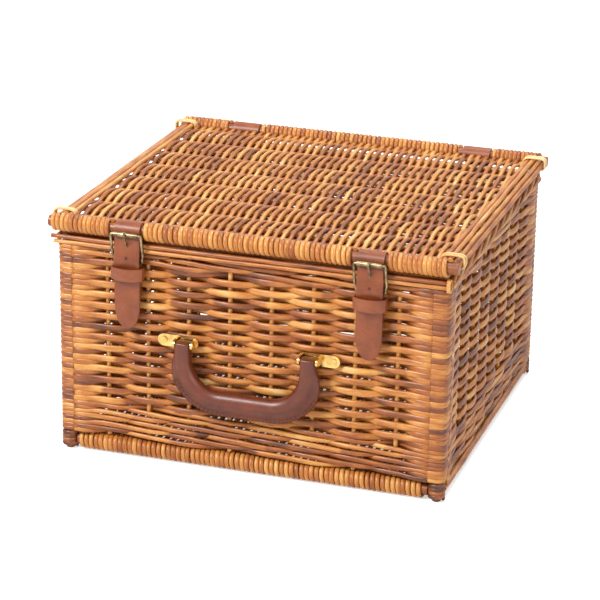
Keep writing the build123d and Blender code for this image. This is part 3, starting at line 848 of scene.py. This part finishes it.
@dataclass
class Panel:
    """A woven panel: front-to-back weavers over and under bundles of cross rods.

    Args:
        name: name of the weave's piece.
        node: packed slab that it stands for.
        rods_node: packed cross rods that it stands for.
        body: body that it moves with.
        count: weavers side by side.
        step: distance between bundles.
        seed: seed of its random numbers.
        rows: number of bundles.
        pitch: distance between weavers.
        swing: how far a weaver's middle goes up and down.
        half_wide: half width of a weaver.
        half_thick: half thickness of a weaver.
        rod: radius of a cross rod.
        rod_pitch: distance between the rods of a bundle.
    """

    name: str
    node: str
    rods_node: str
    body: str
    count: int
    step: float
    seed: int
    rows: int = 7
    pitch: float = 4.1
    swing: float = 3.85
    half_wide: float = 2.35
    half_thick: float = 1.95
    rod: float = 1.75
    rod_pitch: float = 3.7

    def weavers(self) -> Mesh:
        """The weavers: each swings up and down as a cosine with one half wave to each bundle.

        Neighbours swing opposite ways. The swing fades out before the sticks at front and back.

        Returns:
            The mesh of all weavers.
        """
        rng = np.random.default_rng(self.seed)
        low, high = box_mm(self.node)
        level = float(low[2] + high[2]) / 2
        half = float(high[1] - low[1]) / 2
        stations = 8 * (self.rows + 1) + 1
        y = np.broadcast_to(np.linspace(-half, half, stations), (self.count, stations))
        shift = np.arange(self.count)[:, None] % 2
        wave = np.cos(math.pi * (y / self.step + (self.rows - 1) / 2 + shift))
        wave = np.sign(wave) * np.abs(wave) ** 0.85
        fade = 1 - 0.6 * step_up((np.abs(y) - half + 16) / 16)
        z = level + self.swing * wave * fade
        x = (np.arange(self.count)[:, None] - (self.count - 1) / 2) * self.pitch
        x = x + 0.35 * smooth_noise(rng, self.count, stations, 9)
        line = np.stack([np.broadcast_to(x, z.shape), MID_Y + y, z], -1)
        wide = self.half_wide * (1 + 0.10 * smooth_noise(rng, self.count, stations, 8))
        tone = rng.uniform(0.40, 0.72, (self.count, 1)) + 0.10 * smooth_noise(rng, self.count, stations, 9)
        return swept(line, wide, self.half_thick, (-1, 0, 0), tone)

    def cross_rods(self) -> Mesh:
        """The bundles of thin cross rods, three side by side, toned pale: painted highlight for the white
        glints they show in the gaps.
        """
        rng = np.random.default_rng(self.seed + 1)
        low, high = box_mm(self.rods_node)
        level = float(low[2] + high[2]) / 2
        half = float(high[0] - low[0]) / 2
        count = 3 * self.rows
        places = ((np.arange(self.rows) - (self.rows - 1) / 2)[:, None] * self.step
                  + np.array((-1, 0, 1)) * self.rod_pitch).reshape(-1)
        x = np.broadcast_to(np.linspace(-half, half, 41), (count, 41))
        y = MID_Y + places[:, None] + 0.25 * smooth_noise(rng, count, 41, 9)
        z = level + 0.15 * smooth_noise(rng, count, 41, 9)
        # painted highlight: the pale tone stands in for the white glints of light on the rods seen in the
        # gaps
        tone = rng.uniform(0.74, 0.98, (count, 1))
        return swept(np.stack([x, y, z], -1), self.rod, self.rod, (0, 0, 1), tone)

    def build(self, finishes: Finishes) -> None:
        """Builds the panel's weavers and cross rods.

        Args:
            finishes: the basket's finishes.
        """
        made(self.name, self.weavers(), finishes.weave, self.body, (self.node,))
        made(self.name + "_rods", self.cross_rods(), finishes.weave, self.body,
             (self.rods_node,))


@dataclass
class Winding:
    """A weaver wound round a thick stick, with gaps where leather goes round it.

    Args:
        name: name of the piece.
        node: packed sleeve that it stands for.
        body: body that it moves with.
        gaps: middles of the gaps along the stick.
        gap: width of each gap.
        seed: seed of its random numbers.
        pitch: wished distance between turns.
        inner: radius of the hollow in the winding.
        thick: thickness of the weaver.
        around: points to a turn.
    """

    name: str
    node: str
    body: str
    gaps: tuple[float, ...]
    gap: float
    seed: int
    pitch: float = 5.3
    inner: float = 6.05
    thick: float = 3.2
    around: int = 16

    def build(self, finishes: Finishes) -> None:
        """Builds the winding: a helix along every span, squashed where turns press on each other.

        Args:
            finishes: the basket's finishes.
        """
        rng = np.random.default_rng(self.seed)
        low, high = box_mm(self.node)
        y, z = float(low[1] + high[1]) / 2, float(low[2] + high[2]) / 2
        stops = [float(low[0])]
        for middle in self.gaps:
            stops += [middle - self.gap / 2, middle + self.gap / 2]
        stops.append(float(high[0]))
        parts = []
        for x0, x1 in zip(stops[::2], stops[1::2]):
            turns = round((x1 - x0) / self.pitch)
            width = (x1 - x0) / (turns + 0.6)
            stations = turns * self.around + 1
            turn = np.linspace(0, turns, stations)
            angle = 2 * math.pi * turn + math.pi
            radius = self.inner + self.thick / 2 + 0.12 * smooth_noise(rng, 1, stations, turns)[0]
            drift = 0.25 * smooth_noise(rng, 1, stations, turns)[0]
            x = x0 + width * (0.8 + (turn * (turns - 1) / turns)) + drift
            line = np.stack([x, y + radius * np.sin(angle), z - radius * np.cos(angle)], -1)
            tones = rng.uniform(0.46, 0.70, turns + 2)
            tone = tones[np.floor(turn + 0.5).astype(int)]
            wide = width * (0.47 + 0.03 * smooth_noise(rng, 1, stations, turns)[0])
            parts.append(swept(line[None], wide[None], self.thick / 2, (1, 0, 0), tone[None]))
        made(self.name, joined(parts), finishes.weave, self.body, (self.node,))


@dataclass
class SideRods:
    """Long rods along the side edges of a panel.

    Args:
        name: name of the piece.
        node: packed rods that it stands for.
        body: body that it moves with.
        places: distance from the middle and level over the panel's middle, for each rod.
        level: level of the panel's middle.
        radius: radius of the rods.
        seed: seed of its random numbers.
    """

    name: str
    node: str
    body: str
    places: tuple[tuple[float, float], ...]
    level: float
    radius: float
    seed: int

    def build(self, finishes: Finishes) -> None:
        """Builds the rods, each a little crooked and tapered.

        Args:
            finishes: the basket's finishes.
        """
        rng = np.random.default_rng(self.seed)
        low, high = box_mm(self.node)
        half = float(high[1] - low[1]) / 2
        y = np.linspace(-half, half, 61)
        rods = [(sx * x, self.level + z) for sx in (-1, 1) for x, z in self.places]
        count = len(rods)
        place = np.array(rods)
        x = place[:, :1] + 0.30 * smooth_noise(rng, count, 61, 9)
        z = place[:, 1:] + 0.22 * smooth_noise(rng, count, 61, 9)
        line = np.stack([x, np.broadcast_to(MID_Y + y, x.shape), z], -1)
        taper = 1 + 0.08 * np.linspace(-1, 1, 61) * rng.choice([-1, 1], (count, 1))
        tone = rng.uniform(0.42, 0.75, (count, 1)) + 0.09 * smooth_noise(rng, count, 61, 11)
        size = self.radius * 0.97 * taper
        made(self.name, swept(line, size, size, (0, 0.001, 1), tone), finishes.weave, self.body,
             (self.node,))


@dataclass
class Ties:
    """Split-willow ties at the corners of the lid, three strands round the side rods.

    Args:
        x0: inner side of a loop, from the middle of the lid.
        x1: outer side of a loop.
        z0: lower side of a loop, over the lid's middle.
        z1: upper side of a loop.
        strand: thickness of a strand.
        half_wide: half width of a strand.
        pitch: distance between strands.
        first: place of the first strand, from the middle of the walls.
    """

    x0: float = 186.5
    x1: float = 207.2
    z0: float = -3.3
    z1: float = 7.3
    strand: float = 2.2
    half_wide: float = 1.15
    pitch: float = 2.9
    first: float = 165.0

    def build(self, finishes: Finishes, level: float) -> None:
        """Builds the ties: a rounded loop that leans as it goes over the rods.

        Each loop is a squared-off oval in the upright plane, cos and sin raised to a power under one.

        Args:
            finishes: the basket's finishes.
            level: level of the lid's middle.
        """
        rng = np.random.default_rng(77)
        angle = np.linspace(0, 2 * math.pi, 40, endpoint=False)
        cos, sin = np.cos(angle), np.sin(angle)
        half_x = (self.x1 - self.x0) / 2 + self.strand / 2
        half_z = (self.z1 - self.z0) / 2 + self.strand / 2
        lines, tones = [], []
        for sx in (-1, 1):
            for sy in (-1, 1):
                for n in range(3):
                    x = sx * ((self.x0 + self.x1) / 2 + half_x * np.sign(cos) * np.abs(cos) ** 0.55)
                    z = level + (self.z0 + self.z1) / 2 + half_z * np.sign(sin) * np.abs(sin) ** 0.55
                    y = MID_Y + sy * (self.first + n * self.pitch) + 0.7 * cos + 0.3 * n * sin
                    lines.append(np.stack([x, y, z], -1))
                    tones.append(np.full(40, rng.uniform(0.8, 1.0)))
        loops = swept(np.stack(lines), self.half_wide, self.strand / 2, (0, 1, 0), np.stack(tones),
                      closed=True)
        made("lid_ties", loops, finishes.weave, "lid", ("lid_corner_ties",))


@dataclass
class Strap:
    """The tail of a strap: puffed where the buckle holds it, flat below, with a rounded tip.

    Args:
        label: left or right.
        width: width of the leather.
        thick: thickness of the leather.
        tip: length of the rounded end.
        wire: radius of the buckle's wire.
        hole_over_heel: level of the hole over the bar that the buckle swings on.
    """

    label: str
    width: float = 26.5
    thick: float = 2.4
    tip: float = 26.0
    wire: float = 1.3
    hole_over_heel: float = 5.3

    def build(self, finishes: Finishes) -> None:
        """Builds the tail: a squared-off oval carried down the strap's path, narrowed to the tip.

        The half width near the tip is the full one times the root of one minus the square of the distance
        into the tip, and the thickness swells as a bell round the buckle's roller.

        Args:
            finishes: the basket's finishes.
        """
        node = "strap_tail_" + self.label
        low, high = box_mm(node)
        heel = self.heel()
        keeper = float(box_mm("keeper_" + self.label)[1][2])
        top, bottom = float(high[2]), float(low[2])
        z = np.concatenate([np.linspace(top, bottom + self.tip, 64),
                            bottom + self.tip * (1 - np.sin(np.linspace(0.05, math.pi / 2, 22)))])
        z[-1] = bottom + 0.02
        y = np.interp(z, [bottom, keeper, heel - 2.5, heel + 4.0, heel + 11.0, top],
                      [-191.4, -191.4, -193.0, -193.0, -191.1, -191.1])
        y = np.convolve(np.pad(y, 3, mode="edge"), np.ones(7) / 7, "valid") + MID_Y
        into = np.clip((bottom + self.tip - z) / self.tip, 0, 1)
        half = self.width / 2 * np.sqrt(np.clip(1 - into ** 2.3, 0.0012, 1))
        swell = 0.45 * np.exp(-((z - heel - 9.5) / 9.0) ** 2)
        deep = self.thick / 2 * (1 + swell) * np.clip(half / 3, 0.35, 1)
        line = np.stack([np.full(len(z), self.place()), y, z], -1)
        mesh = swept(line[None], half[None], deep[None], (1, 0, 0), 0.5, corners=28, power=0.42)
        made("strap_" + self.label, mesh, finishes.strap, "strap_" + self.label, (node,))
        hole_z = heel + self.hole_over_heel
        self.hole(finishes, hole_z, float(np.interp(-hole_z, -z, y - deep)))

    def place(self) -> float:
        """Middle of the strap, left to right."""
        return float(middle_mm("strap_tail_" + self.label)[0])

    def heel(self) -> float:
        """Level of the bar that the buckle swings on."""
        return float(box_mm("buckle_frame_" + self.label)[0][2]) + self.wire

    def hole(self, finishes: Finishes, level: float, face: float) -> None:
        """Builds the strap's hole as painted shade: a dark ring round its edge and a low dark plug in it,
        standing in for the shadow inside the hole.

        Args:
            finishes: the basket's finishes.
            level: level of the hole.
            face: outer face of the strap at that level.
        """
        angle = np.linspace(0, 2 * math.pi, 16, endpoint=False)
        ring = np.stack([self.place() + 1.15 * np.cos(angle), np.full(16, face - 0.10),
                         level + 1.35 * np.sin(angle)], -1)
        rim = swept(ring[None], 0.45, 0.35, (0, 1, 0), 0.1, corners=6, closed=True)
        # painted shade: a dark plug fills the hole in place of the shadow inside it
        shade_plug = np.array([[(self.place(), face + 0.20, level), (self.place(), face - 0.27, level)]])
        shade_disc = swept(shade_plug, 1.35, 1.15, (0, 0, 1), 0.0, corners=6)
        made("strap_hole_shade_" + self.label, joined([rim, shade_disc]), finishes.thread, "strap_" + self.label)


@dataclass
class Handle:
    """The carrying handle: a leather grip folded round a cord and sewn along its outer edge.

    Args:
        pin_x: distance of the pins from the middle.
        low: level of the grip's middle at its lowest.
        bend: radius of the middle line in the bends.
        thick: half thickness in the plane of the handle.
        deep: half thickness across it.
        seam: reach of the sewn edge from the middle line.
        eye: half width of the grip at the pins.
        stitch_step: distance between stitches.
    """

    pin_x: float = 64.0
    low: float = 79.0
    bend: float = 38.0
    thick: float = 9.5
    deep: float = 8.2
    seam: float = 15.9
    eye: float = 7.5
    stitch_step: float = 3.4

    def path(self, stations: int) -> tuple[Array, Array]:
        """Middle line of the grip: down, round a quarter circle, across, round another and up.

        Args:
            stations: number of points.

        Returns:
            Places and unit directions square to the line, pointing out of the grip's loop, in x and z.
        """
        top = float(middle_mm("handle_pins")[2]) + 3.0
        down = top - self.low - self.bend
        arc = math.pi / 2 * self.bend
        across = 2 * (self.pin_x - self.bend)
        s = np.linspace(0, 2 * down + 2 * arc + across, stations)
        a = np.clip((s - down) / arc, 0, 1) * math.pi / 2
        b = np.clip((s - down - arc - across) / arc, 0, 1) * math.pi / 2
        x = (-self.pin_x + self.bend * (1 - np.cos(a)) + np.clip(s - down - arc, 0, across)
             + self.bend * np.sin(b))
        z = (top - np.clip(s, 0, down) - self.bend * np.sin(a) + self.bend * (1 - np.cos(b))
             + np.clip(s - down - 2 * arc - across, 0, down))
        out = np.stack([-np.cos(a + b), -np.sin(a + b)], -1)
        return np.stack([x, z], -1), out

    def build(self, finishes: Finishes) -> None:
        """Builds the grip and its stitches.

        The section is an oval whose outer end is drawn out to a thin seam: outwards, its half thickness
        falls from the oval's to the seam's as a bell. Towards the pins the grip narrows to the flat eyes.

        Args:
            finishes: the basket's finishes.
        """
        pin_y = float(middle_mm("handle_pins")[1])
        stations, corners = 121, 32
        path, out = self.path(stations)
        share = np.linspace(0, 1, stations)
        ends = 1 - step_up(np.minimum(share, 1 - share) / 0.20)
        angle = 2 * math.pi * np.arange(corners) / corners
        cos, sin = np.cos(angle), np.sin(angle)
        flange = np.exp(-(np.minimum(angle, 2 * math.pi - angle) / 0.42) ** 2)
        reach = np.where(cos > 0, self.thick * cos + (self.seam - self.thick) * flange, self.thick * cos)
        thinner = 1 - 0.30 * np.exp(-((cos - 1) / 0.35) ** 2)
        depth = self.deep * np.sign(sin) * np.abs(sin) ** 0.9 * thinner
        square = self.eye * np.sign(cos) * np.abs(cos) ** 0.45
        flat = 6.4 * np.sign(sin) * np.abs(sin) ** 0.55
        reach = reach[None] * (1 - ends[:, None]) + square[None] * ends[:, None]
        depth = depth[None] * (1 - ends[:, None]) + flat[None] * ends[:, None]
        points = np.stack([path[:, None, 0] + reach * out[:, None, 0], pin_y + depth + 0 * reach,
                           path[:, None, 1] + reach * out[:, None, 1]], -1)
        number = np.arange(stations * corners).reshape(stations, corners)
        here, ahead = number[:-1], number[1:]
        quads = np.stack([here, ahead, np.roll(ahead, -1, 1), np.roll(here, -1, 1)], -1).reshape(-1, 4)
        caps = np.stack([number[0], number[-1, ::-1]])
        uv = np.zeros((4 * len(quads) + 2 * corners, 2))
        mesh = Mesh(points.reshape(-1, 3), quads, caps, uv, np.full(stations * corners, 0.5))
        made("handle_grip", mesh, finishes.handle, "handle", ("handle_cover",))
        self.stitches(finishes, pin_y)

    def stitches(self, finishes: Finishes, pin_y: float) -> None:
        """Builds the stitches: short rods along the seam, on the front and on the back.

        Args:
            finishes: the basket's finishes.
            pin_y: place of the grip's middle plane, front to back.
        """
        path, out = self.path(1201)
        run = np.linalg.norm(np.diff(path, axis=0), axis=1)
        s = np.concatenate([[0], np.cumsum(run)])
        middles = np.arange(0.17 * s[-1], 0.83 * s[-1], self.stitch_step)
        ends = []
        for face in (-1, 1):
            for half in (-1, 1):
                at = middles + half * self.stitch_step * 0.30
                x = np.interp(at, s, path[:, 0] + out[:, 0] * (self.seam - 2.6))
                z = np.interp(at, s, path[:, 1] + out[:, 1] * (self.seam - 2.6))
                ends.append(np.stack([x, np.full(len(at), pin_y + face * 3.05), z], -1))
        both = np.concatenate([np.stack(ends[:2], 1), np.stack(ends[2:], 1)])
        share = np.linspace(0, 1, 4)[None, :, None]
        line = both[:, :1] * (1 - share) + both[:, 1:] * share
        line[:, 1:3, 1] += np.sign(line[:, 1:3, 1] - pin_y) * 0.25
        size = np.array([0.32, 0.52, 0.52, 0.32])
        thread = swept(line, size, size, (0, 1, 0), 0.5, corners=6)
        made("handle_stitches", thread, finishes.thread, "handle")


class Fittings:
    """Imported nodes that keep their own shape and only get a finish."""

    def __init__(self, finishes: Finishes) -> None:
        """Lists which finish each kind of node gets.

        Args:
            finishes: the basket's finishes.
        """
        self.kinds = (("corner_posts", finishes.sticks), ("stakes", finishes.stakes),
                      ("stick", finishes.sticks), ("border_knot", finishes.stakes),
                      ("hinge_loop", finishes.keeper),
                      ("chape_rivets", finishes.antique), ("chape", finishes.strap),
                      ("keeper", finishes.keeper), ("strap_loop", finishes.strap),
                      ("buckle", finishes.antique),
                      ("prong", finishes.antique), ("hinge_rivets", finishes.antique),
                      # the handle fittings take the lighter brass, whose extra lightness is painted light
                      ("handle_bracket", finishes.bright), ("handle_pins", finishes.bright),
                      ("bracket_rivets", finishes.bright), ("handle_core", finishes.cord))

    def dress(self) -> None:
        """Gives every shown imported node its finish."""
        for name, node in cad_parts.items():
            if node.hide_render:
                continue
            finish = next((f for key, f in self.kinds if key in name), None)
            if finish is None:
                LOG.warning("%s has no finish", name)
                continue
            node.data.materials.clear()
            node.data.materials.append(finish)
            LOG.info("%s: finish %s", name, finish.name)


@dataclass
class Studio:
    """Pale floor and backdrop, soft lamps, and the camera of the photograph.

    Args:
        place: camera's place in millimetres, front to back counted from the middle of the walls.
        azimuth: camera's turn round the basket, in degrees.
        elevation: camera's height angle, in degrees.
        roll: camera's roll, in degrees.
        lens: focal length in millimetres on a 36 mm sensor.
        floor_glow: how much the floor brightens for the camera.
        sky: strength of the even light from all round.
    """

    place: tuple[float, float, float] = (729.66, -2288.03, 1000.59)
    azimuth: float = 17.861
    elevation: float = 20.116
    roll: float = 0.930
    lens: float = 147.80
    floor_glow: float = 0.55
    sky: float = 0.20

    def camera(self) -> None:
        """Sets the camera up: its back direction follows from azimuth and elevation, then it rolls."""
        az, el, roll = (math.radians(a) for a in (self.azimuth, self.elevation, self.roll))
        back = np.array((math.sin(az) * math.cos(el), -math.cos(az) * math.cos(el), math.sin(el)))
        right = np.cross(-back, (0, 0, 1))
        right /= np.linalg.norm(right)
        up = np.cross(right, -back)
        across = math.cos(roll) * right + math.sin(roll) * up
        over = -math.sin(roll) * right + math.cos(roll) * up
        data = bpy.data.cameras.new("camera")
        data.lens = self.lens
        data.sensor_width = 36.0
        data.sensor_fit = "HORIZONTAL"
        data.clip_end = 100
        camera = bpy.data.objects.new("camera", data)
        bpy.context.scene.collection.objects.link(camera)
        turned = Matrix(np.stack([across, over, back], 1).tolist()).to_4x4()
        turned.translation = (np.array(self.place) + (0, MID_Y, 0)) * MM
        camera.matrix_world = turned
        bpy.context.scene.camera = camera

    def lamp(self, name: str, place: tuple[float, float, float], size: float, power: float) -> None:
        """Adds a square soft lamp that points at the basket.

        Args:
            name: name of the lamp.
            place: its place in metres.
            size: its side in metres.
            power: its power in watts.
        """
        data = bpy.data.lights.new(name, "AREA")
        data.size = size
        data.energy = power
        lamp = bpy.data.objects.new(name, data)
        bpy.context.scene.collection.objects.link(lamp)
        away = np.array(place, float) - (0, 0, 0.12)
        away /= np.linalg.norm(away)
        side = np.cross((0, 0, 1), away)
        side /= np.linalg.norm(side)
        turned = Matrix(np.stack([side, np.cross(away, side), away], 1).tolist()).to_4x4()
        turned.translation = place
        lamp.matrix_world = turned

    def white(self, name: str, grey: float) -> bpy.types.Material:
        """A pale surface that glows a little for the camera only, and still takes shadows.

        Args:
            name: name of the material.
            grey: its colour.

        Returns:
            The material.
        """
        sheet = NodeSheet(name)
        sheet.shader.inputs["Base Color"].default_value = (grey, grey, grey, 1)
        sheet.shader.inputs["Roughness"].default_value = 0.9
        sheet.shader.inputs["Emission Color"].default_value = (1, 1, 1, 1)
        seen = sheet.add("ShaderNodeLightPath").outputs["Is Camera Ray"]
        sheet.link(sheet.math("MULTIPLY", seen, self.floor_glow), sheet.shader, "Emission Strength")
        return sheet.material

    def build(self) -> None:
        """Builds floor, world, lamps and camera."""
        data = bpy.data.meshes.new("floor")
        reach = 30.0
        corners = [(-reach, -reach, 0), (reach, -reach, 0), (reach, reach, 0), (-reach, reach, 0)]
        data.from_pydata(corners, [], [(0, 1, 2, 3)])
        data.materials.append(self.white("pale_floor", 0.93))
        floor = bpy.data.objects.new("floor", data)
        bpy.context.scene.collection.objects.link(floor)
        world = bpy.data.worlds.new("studio")
        bpy.context.scene.world = world
        world.use_nodes = True
        tree = world.node_tree
        back = tree.nodes["Background"]
        path = tree.nodes.new("ShaderNodeLightPath")
        seen = tree.nodes.new("ShaderNodeMath")
        seen.operation = "MAXIMUM"
        tree.links.new(path.outputs["Is Camera Ray"], seen.inputs[0])
        tree.links.new(path.outputs["Is Glossy Ray"], seen.inputs[1])
        strength = tree.nodes.new("ShaderNodeMapRange")
        strength.inputs["To Min"].default_value = self.sky
        strength.inputs["To Max"].default_value = 1.0
        tree.links.new(seen.outputs[0], strength.inputs["Value"])
        tree.links.new(strength.outputs[0], back.inputs["Strength"])
        back.inputs["Color"].default_value = (1, 1, 1, 1)
        self.lamp("key", (-1.3, -1.9, 2.1), 0.9, 84.0)
        self.lamp("fill", (2.0, -1.6, 1.0), 1.6, 17.0)
        self.lamp("top", (0.3, 0.8, 2.4), 1.2, 40.0)
        bpy.context.scene.view_settings.view_transform = "Standard"
        self.camera()


def build_basket(finishes: Finishes) -> None:
    """Builds every woven and sewn piece in order.

    Args:
        finishes: the basket's finishes.
    """
    post_r = 4.5
    post_x = float(POST_BOX[1][0]) - post_r
    post_y = float(POST_BOX[1][1]) - MID_Y - post_r
    front = Wall(Side.FRONT, "front_weave", post_y, post_x, 8, 11)
    back = Wall(Side.BACK, "back_weave", post_y, post_x, 8, 12)
    right = Wall(Side.RIGHT, "right_weave", post_x, post_y, 9, 13)
    left = Wall(Side.LEFT, "left_weave", post_x, post_y, 9, 14)
    for wall in (front, back, right, left):
        wall.build(finishes)
    Corners(front, post_x, post_y).build(finishes)
    Border(post_x, post_y).build(finishes)
    lid_z = float(middle_mm("lid_weave")[2])
    base_z = float(middle_mm("base_weave")[2])
    Panel("lid_panel", "lid_weave", "lid_cross_rods", "lid", 93, 45.95, 21).build(finishes)
    Panel("base_panel", "base_weave", "base_cross_rods", "basket", 89, 44.0, 22).build(finishes)
    strap_x = float(middle_mm("strap_loop_right")[0])
    hinge_x = float(middle_mm("hinge_loop_right")[0])
    strap_gap, hinge_gap = 27.4, 30.4
    straps, hinges = (-strap_x, strap_x), (-hinge_x, hinge_x)
    Winding("lid_front_turns", "lid_front_winding", "lid", straps, strap_gap, 31).build(finishes)
    Winding("lid_back_turns", "lid_back_winding", "lid", hinges, hinge_gap, 32).build(finishes)
    Winding("base_front_turns", "base_front_winding", "basket", (), 0.0, 33).build(finishes)
    Winding("base_back_turns", "base_back_winding", "basket", (), 0.0, 34).build(finishes)
    SideRods("lid_edge_rods", "lid_side_rods", "lid",
             ((189.4, 4.4), (194.5, 4.4), (199.8, 2.0), (204.3, -0.4)), lid_z, 2.4, 41).build(finishes)
    SideRods("base_edge_rods", "base_side_rods", "basket",
             ((187.0, 4.3), (192.0, 4.3), (197.0, 4.3), (196.6, -0.7)), base_z, 2.3, 42).build(finishes)
    Ties().build(finishes, lid_z)
    Strap("left").build(finishes)
    Strap("right").build(finishes)
    Handle().build(finishes)


def main() -> None:
    """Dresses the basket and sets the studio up."""
    logging.basicConfig(level=logging.INFO, format="%(name)s: %(message)s")
    finishes = Finishes()
    build_basket(finishes)
    Fittings(finishes).dress()
    Studio().build()


if __name__ == "__main__":
    main()
